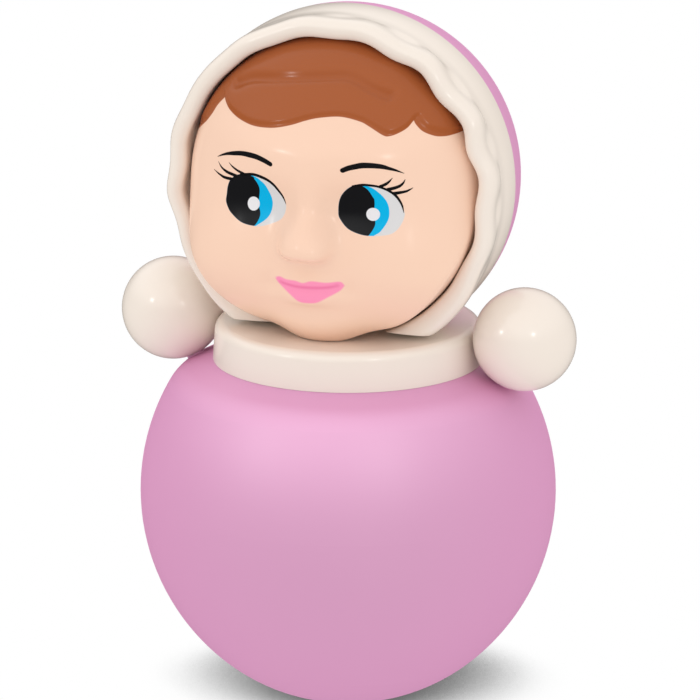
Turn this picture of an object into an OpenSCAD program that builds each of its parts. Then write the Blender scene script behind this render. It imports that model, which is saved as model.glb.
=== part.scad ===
// Roly poly toy: a tilting doll with a weighted round base, a hooded head, two ball
// hands and a chime inside. Millimetres, +Z up. The origin is the point of the base
// that touches the floor, the doll faces -Y and its left hand is on +X.

/* [Body] */
// Radius at the widest level of the body
body_r = 64; // [56:0.5:80]
// How much smaller the radius of the rolling base is than the widest radius
base_ease = 2; // [1:0.1:4]
// How much the round base is cut flat, so that the toy stands still
base_sink = 0.25; // [0.25:0.05:0.4]
// Height of the widest level above the centre of the rolling base
equator_lift = 4.3; // [2:0.1:8]
// Wall of the two moulded body halves
body_wall = 2.2; // [1.6:0.1:3.5]
// Height of the lap joint between the body halves
body_lap = 4; // [2:0.5:8]
// Height of the shoulder, at the rim of the collar, above the widest level
shoulder_rise = 42.1; // [38:0.1:46]
// Radius of the shallow dome of the shoulder
shoulder_r = 120; // [100:1:200]
// Radius of the rounding between side and shoulder
shoulder_round = 14; // [11:0.5:18]

/* [Collar] */
// How far the collar's lower rim lies inside the widest radius of the body
collar_setback = 22.4; // [19:0.1:26]
// Height of the collar above the shoulder at its rim
collar_h = 12.1; // [8:0.1:18]
// How much narrower the collar is at its top
collar_taper = 0.8; // [0:0.1:3]
// Rounding of the upper edge of the collar
collar_edge = 3; // [1:0.1:5]
// Wall of the collar
collar_wall = 2.2; // [1.6:0.1:3.5]

/* [Head] */
// Outer radius of the hood
head_r = 52.9; // [46:0.1:64]
// Radius of the flat on which the head stands
head_flat_r = 26.1; // [22:0.1:32]
// Distance of the hood's parting plane behind the centre of the head
parting_y = 2.9; // [0:0.1:8]
// Wall of the hood and of the head's floor
head_wall = 2.2; // [1.6:0.1:3.5]
// Depth of the lap joint between the halves of the hood
head_lap = 3; // [2:0.5:6]

/* [Frill] */
// Number of waves in a full turn of the frill
frill_waves = 14; // [8:1:20]
// Distance of the middle of the frill in front of the centre of the head
frill_y = 15; // [12:0.1:20]
// How far the frill stands out of the round hood
frill_proud = 2.2; // [1:0.1:4]
// Width of the frill from its crest to its inner lip
frill_width = 6.8; // [5:0.1:9]
// Depth of the frill from front to back
frill_depth = 7; // [5:0.1:10]
// Height of the waves, from the mean to the crest
frill_wave = 0.9; // [0.3:0.1:1.6]
// Half the gap between the lower ends of the frill, behind the chin
chin_gap = 12; // [8:0.5:16]

/* [Face] */
// Distance of the round of the face in front of the centre of the head
face_depth = 39.5; // [38:0.1:44]
// Wall of the face mask
face_wall = 2.2; // [1.6:0.1:3]
// Distance of the face's seat in front of the centre of the head
face_seat_y = 8; // [6:0.1:10]
// Thickness of the flange round the face mask
face_flange = 2; // [1.4:0.1:3]
// Gap between the face and the lip of the frill
face_gap = 0.7; // [0.3:0.1:1.5]

/* [Hands] */
// Radius of the ball hands
hand_r = 15.9; // [12:0.1:18]
// Least gap from a hand to the collar and to the hood
hand_gap = 0.3; // [0.2:0.1:1]
// Radius of the hand pegs
peg_r = 3; // [2:0.1:4]
// Depth of the peg in the hand
peg_depth = 10; // [6:0.5:14]
// Radius of the push-on clips
clip_r = 6.5; // [5:0.1:8]
// Thickness of the push-on clips
clip_t = 1.2; // [0.8:0.1:2]
// Thickness of the pad that a clip bears on
pad_t = 2; // [1.5:0.1:3]
// How far a pad reaches past the edge of its clip
pad_margin = 0.5; // [0.3:0.1:1]
// Length of the pegs beyond their clips
peg_end = 1.5; // [1:0.1:2.5]

/* [Neck] */
// Outer radius of the neck tube
neck_r = 8; // [6:0.1:9]
// Wall of the neck tube
neck_wall = 2.5; // [1.5:0.1:3.5]
// Radius of the flange under the shoulder
neck_flange_r = 14; // [11:0.5:20]
// Thickness of that flange at its rim
neck_flange_t = 2.5; // [1.5:0.1:4]
// Radius of the ring nut without its lugs
nut_r = 10.4; // [9.5:0.1:11.5]
// Height of the lugs on the ring nut
nut_lug = 1; // [0.5:0.1:1.5]
// Height of the ring nut
nut_h = 5; // [3:0.5:8]
// Width of the lugs on the ring nut
lug_w = 3; // [2:0.1:4]
// Length of the neck tube above the nut
tube_end = 1.5; // [0.5:0.1:3]
// How far the head's floor reaches past the lugs of the nut
floor_margin = 0.5; // [0.3:0.1:0.8]

/* [Ballast] */
// Height of the ballast weight
ballast_h = 16; // [12:0.5:20]
// Width that is turned off the sharp rim of the ballast
ballast_trim = 1; // [0.5:0.1:2]
// Distance of the screw bosses from the middle
boss_ring = 26; // [25:0.5:30]
// Radius of the screw bosses
boss_r = 4; // [3:0.1:5]
// Gap round the bosses in the ballast
boss_play = 0.3; // [0.2:0.1:1]
// Thickness of the chime base
plate_t = 3; // [2:0.1:5]
// How much smaller the chime base is than the top of the ballast
plate_margin = 3; // [1:0.5:5]
// Distance of the two balance pockets from the rim of the ballast
pocket_margin = 9.7; // [8:0.1:12]
// Radius of the balance pockets
pocket_r = 5; // [3:0.1:5.5]
// Depth of the balance pockets, drilled until the toy stands upright
pocket_depth = 6.3; // [4:0.1:7]
// Turn of each balance pocket from the back of the toy
pocket_turn = 30; // [26:1:40]

/* [Chime] */
// Radius of the rod plate
rod_plate_r = 21; // [19:0.5:22]
// Thickness of the rod plate
rod_plate_t = 6; // [4:0.5:9]
// Radius of the chime rods
rod_r = 1.5; // [1:0.1:2]
// Depth of the rods in the rod plate
rod_seat = 5; // [3:0.5:8]
// Length of the longest rod above the rod plate
rod_long = 46; // [42:0.5:50]
// Step in length from one rod to the next
rod_step = 2.2; // [1:0.1:2.4]
// Radius of the clapper ball
ball_r = 8; // [6:0.5:9]
// Travel of the clapper ball to each side
ball_travel = 5; // [3:0.5:6]
// Gap that is left between the ball and a rod at full swing
strike_gap = 0.3; // [0.2:0.1:1]

/* [Bridge and clapper] */
// Distance of the ends of the bridge's feet from the edge of the chime base
foot_margin = 0.2; // [0:0.1:2]
// Depth of the strip of the bridge
bridge_d = 10; // [8:0.5:12]
// Thickness of the strip of the bridge
bridge_t = 2.5; // [1.5:0.1:3.5]
// Clear height under the bridge
bridge_h = 72; // [66:0.5:78]
// Inner radius of the bends of the bridge
bridge_bend = 4; // [2:0.5:8]
// Length of the feet of the bridge
foot_l = 8; // [7:0.5:9]
// Distance of the upper pivot below the bridge
pivot_drop = 7; // [5:0.5:10]
// Distance between the two pivots of the link
link_l = 8; // [8:0.5:12]
// Width of the eyes of the link
link_w = 5; // [4:0.5:8]
// Radius of the eyes of link, ears and fork
eye_r = 2.8; // [2.2:0.1:3.2]
// Radius of the two pivot pins
pin_r = 1.2; // [0.8:0.1:1.5]
// Thickness of the ears and of the fork's tines
ear_t = 2; // [1.5:0.1:3]
// Radius of the clapper stem
stem_r = 1.6; // [1:0.1:2]
// Height of the middle of the ball above the rod plate
ball_rise = 22; // [20:0.5:26]
// Gap between the link's lower eye and the yoke of the stem
yoke_gap = 2; // [1:0.1:3]
// Thickness of the yoke
yoke_t = 2.5; // [1.5:0.1:4]
// How far the stem stays inside the bottom of the ball
stem_inset = 1; // [0.5:0.1:2]

/* [Screws] */
// Radius of the shank of the small screws
screw_r = 1.5; // [1:0.1:2]
// Radius of the heads of the small screws
screw_head_r = 3; // [2.4:0.1:3.4]
// Height of the heads of the small screws
screw_head_h = 2; // [1:0.1:3]
// Length of the base screws below the head
base_screw_l = 11; // [8:0.5:13]
// Radius of the shank of the rod plate's screw
bolt_r = 2.5; // [2:0.1:3]
// Length of that screw below its head
bolt_l = 17; // [14:0.5:20]
// Skin of the chime base that is left below the bridge screws
screw_skin = 0.5; // [0.3:0.1:1]

/* [Fits] */
// Gap at curved seats that are fixed
seat_gap = 0.1; // [0.05:0.01:0.2]
// Radial play of fixed pins, rods and screws
fixed_play = 0.02; // [0.01:0.01:0.05]
// Radial play of the turning eyes
run_play = 0.06; // [0.03:0.01:0.1]
// Side play of the turning eyes
side_play = 0.4; // [0.3:0.05:0.8]

/* [Hidden] */
$fn = 96;

pink = "#e4adc9";
cream = "#f4e4d8";
peach = "#fbd6bf";
steel = "#b9bcc0";
iron = "#55565a";
grey_plastic = "#8d9096";

// The body's outline is four arcs that meet smoothly: base, side, rounding, shoulder.
base_r = body_r - base_ease;
collar_r = body_r - collar_setback;
base_z = base_r - base_sink;
equator_z = base_z + equator_lift;
side_r = (body_r ^ 2 + equator_lift ^ 2 - base_r ^ 2) / (2 * base_ease);
rim_z = equator_z + shoulder_rise;
base_c = [0, base_z];
side_c = [body_r - side_r, equator_z];
shoulder_c = [0, rim_z - sqrt(shoulder_r ^ 2 - collar_r ^ 2)];
round_c = two_circles(side_c, side_r - shoulder_round, shoulder_c, shoulder_r - shoulder_round);
outline_top = shoulder_c.y + shoulder_r;

// Where the pieces above and inside the body stand
collar_top = rim_z + collar_h;
head_drop = sqrt(head_r ^ 2 - head_flat_r ^ 2);
head_z = collar_top + head_drop;
collar_lean = atan(collar_taper / collar_h);
edge_z = collar_top - collar_edge;
edge_x = collar_r - (edge_z - rim_z) * tan(collar_lean) - collar_edge / cos(collar_lean);
ballast_top = body_wall + seat_gap + ballast_h;
ballast_r = base_r - body_wall - seat_gap;
ballast_top_r = sqrt(ballast_r ^ 2 - (base_z - ballast_top) ^ 2);
pocket_ring = ballast_top_r - ballast_trim - pocket_margin - pocket_r;
plate_r = ballast_top_r - plate_margin;
bridge_half = plate_r - foot_margin - foot_l - bridge_t;
plate_top = ballast_top + plate_t;
rod_plate_top = plate_top + rod_plate_t;
bridge_z = plate_top + bridge_h;
upper_pivot = bridge_z - pivot_drop;
lower_pivot = upper_pivot - link_l;
ball_z = rod_plate_top + ball_rise;

// A hand sits on the rounding of the body, where it just clears the collar and the hood.
hand_reach = shoulder_round + seat_gap + hand_r;
hand_by_collar = two_circles(round_c, hand_reach, [edge_x, edge_z], collar_edge + hand_gap + hand_r);
hand_by_hood = two_circles(round_c, hand_reach, [0, head_z], head_r + hand_gap + hand_r);
hand_c = hand_by_collar.x > hand_by_hood.x ? hand_by_collar : hand_by_hood;
hand_lean = atan2(hand_c.x - round_c.x, hand_c.y - round_c.y);

// Four rods stand on the axes and four, further out, on the diagonals, so that the
// ball reaches each of them and clears them all when it swings both ways at once.
rod_axis_r = ball_travel + ball_r + rod_r + strike_gap;
rod_diagonal_r = ball_travel * sqrt(2) + ball_r + rod_r + strike_gap;

// Frill and face, in the head's own frame, with the distance forwards as a positive y
crest_r = sqrt(head_r ^ 2 - frill_y ^ 2) + frill_proud;
lip_r = crest_r - frill_width;
face_r = (lip_r - frill_wave - face_gap) / sqrt(1 - (frill_y / face_depth) ^ 2);
face_rim_r = face_r * sqrt(1 - (face_seat_y / face_depth) ^ 2);
seat_rim_r = sqrt((head_r - head_wall) ^ 2 - face_seat_y ^ 2);
mask_gap = 3 * seat_gap;
tongue_y = parting_y + head_lap - seat_gap;
floor_r = nut_r + nut_lug + floor_margin;
neck_h = head_wall + nut_h + tube_end;
frill_steps = 9 * frill_waves;
face_rings = 16;
face_spokes = 60;

// Moulded relief of the face: x, z, half width, half height, lift. Nose, eyes, brows,
// cheeks, lips, jaw and chin. The relief fades out towards the rim of the face.
face_relief = concat(
    [[0, -2, 3.6, 7, 1.6], [0, -9.5, 5.2, 4.6, 8]],
    [for (side = [-1, 1]) [side * 6, -12.5, 2.6, 2.4, 1.4]],
    [for (side = [-1, 1]) [side * 13, -1, 8, 6.5, -4.2]],
    [for (side = [-1, 1]) [side * 14, 13, 13, 6, 2]],
    [for (side = [-1, 1]) [side * 22, -18, 10, 9, 1.5]],
    [[0, -23.5, 8, 3.2, 1.8], [0, -34, 17, 11, 7], [0, -34.5, 8, 3.5, 1.2]]
);
relief_end_a = 68;
relief_fade_a = 12;

// The frill is calm beside the chin, this far from its lowest point.
calm_from_a = 25;
calm_fade_a = 25;

// Crossing of two circles, the one with the larger x
function two_circles(c1, r1, c2, r2) =
    let (d = norm(c2 - c1), a = (d ^ 2 + r1 ^ 2 - r2 ^ 2) / (2 * d), h = sqrt(r1 ^ 2 - a ^ 2))
    let (u = (c2 - c1) / d, left = c1 + a * u + h * [u.y, -u.x], other = c1 + a * u - h * [u.y, -u.x])
    left.x > other.x ? left : other;

// Point where a ray from one arc's centre through the next arc's centre leaves that arc
function tangent_point(from, to, r) = to + r * (to - from) / norm(to - from);

function smooth(t) = let (s = min(1, max(0, t))) s * s * (3 - 2 * s);

function gauss(x, z, b) = b[4] * exp(-((x - b[0]) / b[2]) ^ 2 / 2 - ((z - b[1]) / b[3]) ^ 2 / 2);

function sum_of(list, i = 0) = i >= len(list) ? 0 : list[i] + sum_of(list, i + 1);

function face_lift(x, z) = sum_of([for (b = face_relief) gauss(x, z, b)]);

// Point on the face at polar angle a from its middle and at turn v, inset from the skin
function face_point(a, v, inset) =
    let (base = [
        (face_r - inset) * sin(a) * cos(v),
        -(face_depth - inset) * cos(a),
        (face_r - inset) * sin(a) * sin(v)
    ])
    base * (1 + face_lift(base.x, base.z) * smooth((relief_end_a - a) / relief_fade_a) / norm(base));

// Faces of a closed grid of rings, each with the same number of points, wrapped both ways
function torus_faces(rings, count) = [
    for (i = [0:rings - 1], j = [0:count - 1])
        let (i2 = (i + 1) % rings, j2 = (j + 1) % count)
        let (a = i * count + j, b = i * count + j2, c = i2 * count + j2, d = i2 * count + j)
        each [[a, b, c], [a, c, d]]
];

// The stretch of the body's outline between two heights, inset from the outside
module outline_strip(c, r, low, high) {
    intersection() {
        union() {
            translate(c) circle(r);
            if (c.x > 0) translate([0, low]) square([c.x, high - low]);
        }
        translate([0, low]) square([body_r, high - low]);
    }
}

module body_outline(inset) {
    base_end = tangent_point(side_c, base_c, base_r - inset).y;
    side_end = tangent_point(side_c, round_c, shoulder_round - inset).y;
    round_end = tangent_point(shoulder_c, round_c, shoulder_round - inset).y;
    outline_strip(base_c, base_r - inset, inset, base_end);
    outline_strip(side_c, side_r - inset, base_end, side_end);
    outline_strip(round_c, shoulder_round - inset, side_end, round_end);
    outline_strip(shoulder_c, shoulder_r - inset, round_end, outline_top - inset);
}

module body_solid(inset) {
    rotate_extrude() body_outline(inset);
}

module level_band(low, high) {
    translate([0, low]) square([body_r, high - low]);
}

module at_bosses() {
    for (turn = [90, 210, 330]) rotate(turn) translate([boss_ring, 0, 0]) children();
}

module lower_bowl() {
    color(pink) difference() {
        union() {
            rotate_extrude() {
                difference() {
                    intersection() {
                        body_outline(0);
                        level_band(0, equator_z);
                    }
                    body_outline(body_wall);
                }
                difference() {
                    intersection() {
                        body_outline(body_wall / 2 + seat_gap);
                        level_band(equator_z - body_lap, equator_z + body_lap - seat_gap);
                    }
                    body_outline(body_wall);
                }
            }
            intersection() {
                at_bosses() cylinder(r = boss_r, h = ballast_top);
                body_solid(body_wall / 2);
            }
        }
        at_bosses() translate([0, 0, ballast_top + plate_t - base_screw_l])
            cylinder(r = screw_r + fixed_play, h = base_screw_l);
    }
}

// Local frame of a hand: its z axis runs out along the peg from the middle of the rounding
module at_hand(side) {
    mirror([side > 0 ? 0 : 1, 0, 0])
        translate([round_c.x, 0, round_c.y])
        rotate([0, hand_lean, 0]) children();
}

pad_z = shoulder_round - body_wall - pad_t;

module upper_dome() {
    color(pink) difference() {
        union() {
            rotate_extrude() difference() {
                intersection() {
                    body_outline(0);
                    level_band(equator_z, outline_top);
                }
                body_outline(body_wall);
                intersection() {
                    body_outline(body_wall / 2);
                    level_band(equator_z, equator_z + body_lap);
                }
            }
            intersection() {
                for (side = [-1, 1]) at_hand(side) translate([0, 0, pad_z])
                    cylinder(r = clip_r + pad_margin, h = shoulder_round);
                body_solid(body_wall / 2);
            }
        }
        for (side = [-1, 1]) at_hand(side) cylinder(r = peg_r + fixed_play, h = 2 * shoulder_round);
        translate([0, 0, rim_z]) cylinder(r = neck_r + seat_gap, h = shoulder_r);
    }
}

module ballast() {
    color(iron) difference() {
        intersection() {
            translate([0, 0, base_z]) sphere(ballast_r);
            translate([0, 0, ballast_top - ballast_h])
                cylinder(r = ballast_top_r - ballast_trim, h = ballast_h);
        }
        at_bosses() cylinder(r = boss_r + boss_play, h = plate_top);
        translate([0, 0, rod_plate_top - bolt_l]) cylinder(r = bolt_r + fixed_play, h = bolt_l);
        for (side = [-1, 1]) rotate(90 + side * pocket_turn)
            translate([pocket_ring, 0, ballast_top - pocket_depth]) cylinder(r = pocket_r, h = ballast_top);
    }
}

module at_feet() {
    for (side = [-1, 1]) translate([side * (bridge_half + bridge_t + foot_l / 2), 0, 0]) children();
}

module chime_base() {
    color(grey_plastic) difference() {
        translate([0, 0, ballast_top]) cylinder(r = plate_r, h = plate_t);
        at_bosses() cylinder(r = screw_r + fixed_play, h = bridge_z);
        at_feet() translate([0, 0, ballast_top + screw_skin])
            cylinder(r = screw_r + fixed_play, h = plate_t);
        cylinder(r = bolt_r + fixed_play, h = bridge_z);
    }
}

// A pan head screw that stands on z = 0 with its shank below
module pan_screw(shank_r, length, rim_r, head_h) {
    slot = [1.2 * rim_r, rim_r / 4, head_h];
    translate([0, 0, -length]) cylinder(r = shank_r, h = length);
    difference() {
        cylinder(r1 = rim_r, r2 = 0.8 * rim_r, h = head_h);
        for (turn = [0, 90]) rotate(turn) translate([0, 0, head_h]) cube(slot, center = true);
    }
}

module base_screws() {
    color(steel) at_bosses() translate([0, 0, plate_top])
        pan_screw(screw_r, base_screw_l, screw_head_r, screw_head_h);
}

module bridge_screws() {
    color(steel) at_feet() translate([0, 0, plate_top + bridge_t])
        pan_screw(screw_r, bridge_t + plate_t - screw_skin, screw_head_r, screw_head_h);
}

module at_rod(k) {
    ring = k % 2 == 1 ? rod_axis_r : rod_diagonal_r;
    rotate(-45 * (k - 1)) translate([ring, 0, 0]) children();
}

module rod_plate() {
    color("#a7a9ad") difference() {
        translate([0, 0, plate_top]) cylinder(r = rod_plate_r, h = rod_plate_t);
        for (k = [1:8]) at_rod(k) translate([0, 0, rod_plate_top - rod_seat])
            cylinder(r = rod_r + fixed_play, h = rod_long);
        cylinder(r = bolt_r + fixed_play, h = bridge_z);
    }
}

module rod_plate_screw() {
    color(steel) translate([0, 0, rod_plate_top]) pan_screw(bolt_r, bolt_l, bolt_r * 1.8, bolt_r * 1.2);
}

module chime_rod(k) {
    color("#d7dadd") at_rod(k) translate([0, 0, rod_plate_top - rod_seat])
        cylinder(r = rod_r, h = rod_seat + rod_long - (k - 1) * rod_step);
}

// One half of the bridge's strip, drawn in the plane of the arch
module bridge_half_outline() {
    bend_x = bridge_half - bridge_bend;
    bend_z = bridge_h - bridge_bend;
    square([bend_x, bridge_t + bridge_h]);
    difference() {
        translate([bend_x, bend_z]) circle(bridge_bend + bridge_t);
        square([bend_x, bend_z]);
    }
    square([bridge_half + bridge_t, bend_z]);
    square([bridge_half + bridge_t + foot_l, bridge_t]);
}

module bridge_outline() {
    difference() {
        for (side = [0, 1]) mirror([side, 0]) bridge_half_outline();
        for (side = [0, 1]) mirror([side, 0]) {
            square([bridge_half - bridge_bend, bridge_h]);
            square([bridge_half, bridge_h - bridge_bend]);
            translate([bridge_half - bridge_bend, bridge_h - bridge_bend]) circle(bridge_bend);
        }
    }
}

module along_x(r, length) {
    rotate([0, 90, 0]) cylinder(r = r, h = length, center = true);
}

module along_y(r, length) {
    rotate([90, 0, 0]) cylinder(r = r, h = length, center = true);
}

ear_x = link_w / 2 + side_play + ear_t / 2;

module bridge() {
    color(grey_plastic) difference() {
        union() {
            translate([0, bridge_d / 2, plate_top]) rotate([90, 0, 0])
                linear_extrude(bridge_d) bridge_outline();
            for (side = [-1, 1]) translate([side * ear_x, 0, upper_pivot]) {
                along_x(eye_r, ear_t);
                translate([-ear_t / 2, -eye_r, 0]) cube([ear_t, 2 * eye_r, pivot_drop + bridge_t / 2]);
            }
        }
        translate([0, 0, upper_pivot]) along_x(pin_r + fixed_play, 4 * ear_x);
        at_feet() cylinder(r = screw_r + fixed_play, h = upper_pivot);
    }
}

// A pivot pin with a round head at one end, along x
module headed_pin() {
    shank = 2 * ear_x + ear_t;
    along_x(pin_r, shank);
    translate([shank / 2 + pin_r / 2, 0, 0]) along_x(pin_r * 1.6, pin_r);
}

module hanger_pin() {
    color(steel) translate([0, 0, upper_pivot]) headed_pin();
}

module swing_link() {
    web = 1.4 * eye_r;
    color("#d9d2c4") difference() {
        union() {
            translate([0, 0, upper_pivot]) along_x(eye_r, link_w);
            translate([0, 0, lower_pivot]) along_y(eye_r, link_w);
            translate([-web / 2, -web / 2, lower_pivot]) cube([web, web, link_l]);
        }
        translate([0, 0, upper_pivot]) along_x(pin_r + run_play, 2 * link_w);
        translate([0, 0, lower_pivot]) along_y(pin_r + run_play, 2 * link_w);
    }
}

module clapper_pin() {
    color(steel) translate([0, 0, lower_pivot]) rotate(90) headed_pin();
}

module clapper_stem() {
    yoke_z = lower_pivot - eye_r - yoke_gap - yoke_t;
    stem_z = ball_z - ball_r + stem_inset;
    color(steel) difference() {
        union() {
            for (side = [-1, 1]) translate([0, side * ear_x, 0]) {
                translate([0, 0, lower_pivot]) along_y(eye_r, ear_t);
                translate([-eye_r, -ear_t / 2, yoke_z]) cube([2 * eye_r, ear_t, lower_pivot - yoke_z]);
            }
            translate([-eye_r, -ear_x, yoke_z]) cube([2 * eye_r, 2 * ear_x, yoke_t]);
            translate([0, 0, stem_z]) cylinder(r = stem_r, h = yoke_z + yoke_t / 2 - stem_z);
        }
        translate([0, 0, lower_pivot]) along_y(pin_r + fixed_play, 4 * ear_x);
    }
}

module clapper_ball() {
    color("#c9a350") translate([0, 0, ball_z]) difference() {
        sphere(ball_r);
        cylinder(r = stem_r + fixed_play, h = 3 * ball_r, center = true);
    }
}

module neck_tube() {
    flange_z = shoulder_c.y + sqrt((shoulder_r - body_wall) ^ 2 - neck_flange_r ^ 2) - neck_flange_t;
    top_z = collar_top + neck_h;
    color(cream) difference() {
        union() {
            translate([0, 0, flange_z]) cylinder(r = neck_r, h = top_z - flange_z);
            intersection() {
                translate([0, 0, flange_z]) cylinder(r = neck_flange_r, h = 3 * neck_flange_t);
                translate([0, 0, shoulder_c.y]) sphere(shoulder_r - body_wall - seat_gap, $fn = 360);
            }
        }
        cylinder(r = neck_r - neck_wall, h = 2 * head_z);
    }
}

module neck_nut() {
    color(grey_plastic) translate([0, 0, collar_top + head_wall]) difference() {
        union() {
            cylinder(r = nut_r, h = nut_h);
            for (turn = [0:60:300]) rotate(turn) translate([0, -lug_w / 2, 0])
                cube([nut_r + nut_lug, lug_w, nut_h]);
        }
        cylinder(r = neck_r + fixed_play, h = 3 * nut_h, center = true);
    }
}

module collar_outline() {
    touch = [edge_x, edge_z] + collar_edge * [cos(collar_lean), sin(collar_lean)];
    foot = rim_z - collar_h;
    polygon([[0, foot], [collar_r, foot], [collar_r, rim_z], touch, [edge_x, collar_top], [0, collar_top]]);
    translate([edge_x, edge_z]) circle(collar_edge);
}

module collar() {
    color(cream) rotate_extrude() difference() {
        collar_outline();
        square([collar_r - collar_taper - collar_wall, collar_top - collar_wall]);
        translate(shoulder_c) circle(shoulder_r + seat_gap, $fn = 360);
        square([neck_r + seat_gap, 2 * collar_top]);
    }
}

module head_half_space(from_y) {
    translate([-2 * head_r, from_y, -2 * head_r]) cube(4 * head_r);
}

module above_neck(gap) {
    translate([-2 * head_r, -2 * head_r, gap - head_drop]) cube(4 * head_r);
}

module hood_back() {
    color(pink) translate([0, 0, head_z]) difference() {
        union() {
            intersection() {
                difference() {
                    sphere(head_r);
                    sphere(head_r - head_wall);
                    difference() {
                        sphere(head_r - head_wall / 2);
                        head_half_space(parting_y + head_lap);
                    }
                }
                head_half_space(parting_y);
                above_neck(0);
            }
            translate([0, 0, -head_drop]) {
                cylinder(r = floor_r, h = head_wall);
                intersection() {
                    cylinder(r = head_flat_r - head_wall / 2, h = head_wall);
                    translate([0, 0, head_drop]) head_half_space(parting_y + head_lap);
                }
            }
        }
        translate([0, 0, -head_drop]) cylinder(r = neck_r + seat_gap, h = 3 * head_wall, center = true);
    }
}

function hood_ring_r(y, inset) = sqrt((head_r - inset) ^ 2 - y ^ 2);

// Section of the front of the hood at one turn: round band, rolled frill, seat, tongue
function hood_section(turn) =
    let (calm = frill_wave * smooth((abs(turn - 270) - calm_from_a) / calm_fade_a))
    let (wave = calm * cos(frill_waves * turn), sway = calm / 2 * sin(frill_waves * turn))
    let (roll_r = (crest_r + lip_r) / 2, back_y = frill_y - frill_depth / 2 - 1)
    concat(
        [for (i = [0:4]) let (y = parting_y - i * (parting_y + back_y) / 4) [hood_ring_r(y, 0), y]],
        [for (a = [50:-23:-180]) [
            roll_r + wave + frill_width / 2 * cos(a),
            -frill_y + sway + frill_depth / 2 * sin(a)
        ]],
        [[face_rim_r + mask_gap, -face_seat_y], [seat_rim_r, -face_seat_y]],
        [for (y = [-face_seat_y / 2, parting_y, tongue_y]) [hood_ring_r(y, head_wall), y]],
        [for (y = [tongue_y, parting_y]) [hood_ring_r(y, head_wall / 2 + seat_gap), y]]
    );

module hood_front() {
    sections = [for (i = [0:frill_steps - 1]) hood_section(360 * i / frill_steps)];
    points = [for (i = [0:frill_steps - 1], p = sections[i])
        let (turn = 360 * i / frill_steps) [p[0] * cos(turn), p[1], p[0] * sin(turn)]];
    color(cream) translate([0, 0, head_z]) difference() {
        intersection() {
            polyhedron(points, torus_faces(frill_steps, len(sections[0])));
            above_neck(0);
        }
        translate([-chin_gap, -2 * head_r, -2 * head_r]) cube([2 * chin_gap, 4 * head_r, 2 * head_r]);
    }
}

module face_mask() {
    rim_a = acos(face_seat_y / face_depth);
    back_a = acos((face_seat_y - face_flange) / (face_depth - face_wall));
    flange_r = seat_rim_r - mask_gap;
    points = concat(
        [for (i = [0:face_spokes - 1]) let (v = 360 * (i + 0.5) / face_spokes) each concat(
            [for (k = [1:face_rings]) face_point(k * rim_a / face_rings, v, 0)],
            [for (y = [-face_seat_y, face_flange - face_seat_y]) [flange_r * cos(v), y, flange_r * sin(v)]],
            [for (k = [face_rings:-1:1]) face_point(k * back_a / face_rings, v, face_wall)]
        )],
        [face_point(0, 0, 0), face_point(0, 0, face_wall)]
    );
    line = 2 * face_rings + 2;
    poles = [face_spokes * line, face_spokes * line + 1];
    faces = [for (i = [0:face_spokes - 1])
        let (a = i * line, b = ((i + 1) % face_spokes) * line)
        each concat(
            [[poles[0], b, a], [poles[1], a + line - 1, b + line - 1]],
            [for (j = [0:line - 2]) each [[a + j, b + j, b + j + 1], [a + j, b + j + 1, a + j + 1]]]
        )
    ];
    color(peach) translate([0, 0, head_z]) difference() {
        intersection() {
            polyhedron(points, faces);
            above_neck(mask_gap);
        }
        translate([0, 0, -head_drop]) cylinder(r = floor_r + mask_gap, h = neck_h + mask_gap);
    }
}

module hand(side) {
    color(cream) at_hand(side) difference() {
        translate([0, 0, shoulder_round + seat_gap + hand_r]) sphere(hand_r);
        cylinder(r = peg_r + fixed_play, h = shoulder_round + peg_depth + mask_gap);
    }
}

module hand_peg(side) {
    foot_z = pad_z - clip_t - peg_end;
    color(grey_plastic) at_hand(side) translate([0, 0, foot_z])
        cylinder(r = peg_r, h = shoulder_round + peg_depth - foot_z);
}

module hand_clip(side) {
    color(steel) at_hand(side) translate([0, 0, pad_z - clip_t]) difference() {
        cylinder(r = clip_r, h = clip_t);
        cylinder(r = peg_r + fixed_play, h = 3 * clip_t, center = true);
        for (turn = [0, 60, 120]) rotate(turn) cube([1.4 * clip_r, clip_r / 8, 4 * clip_t], center = true);
    }
}

lower_bowl();
upper_dome();
ballast();
chime_base();
base_screws();
rod_plate();
rod_plate_screw();
for (k = [1:8]) chime_rod(k);
bridge();
bridge_screws();
hanger_pin();
swing_link();
clapper_pin();
clapper_stem();
clapper_ball();
neck_tube();
neck_nut();
collar();
hood_back();
hood_front();
face_mask();
hand(1);  // hand_left
hand(-1);  // hand_right
hand_peg(1);  // hand_peg_left
hand_peg(-1);  // hand_peg_right
hand_clip(1);  // hand_clip_left
hand_clip(-1);  // hand_clip_right
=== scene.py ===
import math

import bmesh
import bpy
import numpy as np
from mathutils import Matrix, Vector
from mathutils.bvhtree import BVHTree


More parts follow.
